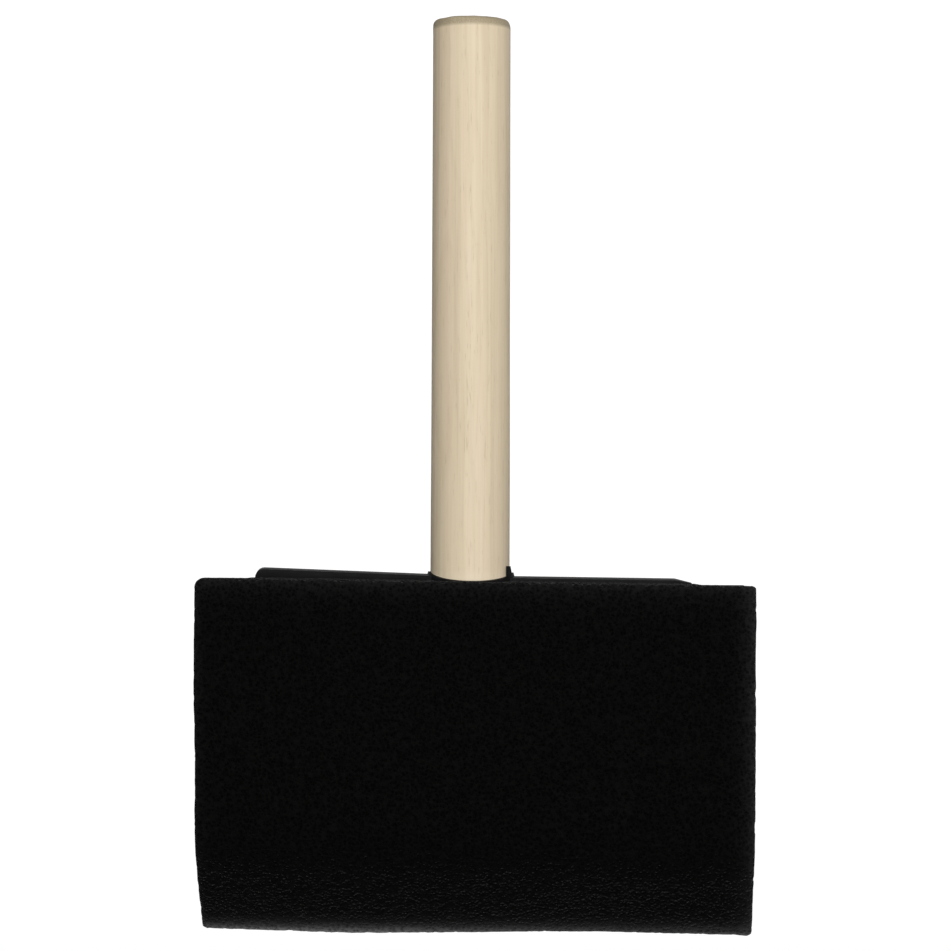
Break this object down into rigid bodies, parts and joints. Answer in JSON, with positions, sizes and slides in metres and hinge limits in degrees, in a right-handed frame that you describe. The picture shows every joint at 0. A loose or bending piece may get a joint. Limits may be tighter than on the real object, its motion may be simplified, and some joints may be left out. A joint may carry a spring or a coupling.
{
  "type": "foam sponge brush",
  "caption": "Disposable paint brush: a black foam head with a chisel tip on a moulded plastic core, and a plain round wooden dowel handle.",
  "frame": {"origin": "middle of the foam head's outline in X and Y, at the height of the lowest point of its tip", "axes": "+Z along the handle, from the foam tip to the handle's free end; +Y out of the head's rear broad face, so the front face is towards -Y; +X across the head's width, towards the side where the foam's cuts fall"},
  "size_m": [0.1016, 0.0254, 0.1695],
  "materials": {
    "birch_wood": "matte",
    "black_plastic": "satin",
    "black_foam": "matte",
    "hot_melt": "satin"
  },
  "bodies": {
    "root": {"wooden_handle": "birch_wood", "plastic_core": "black_plastic", "foam_head": "black_foam", "blade_glue_front": "hot_melt", "blade_glue_back": "hot_melt", "socket_glue": "hot_melt"}
  },
  "joints": []
}
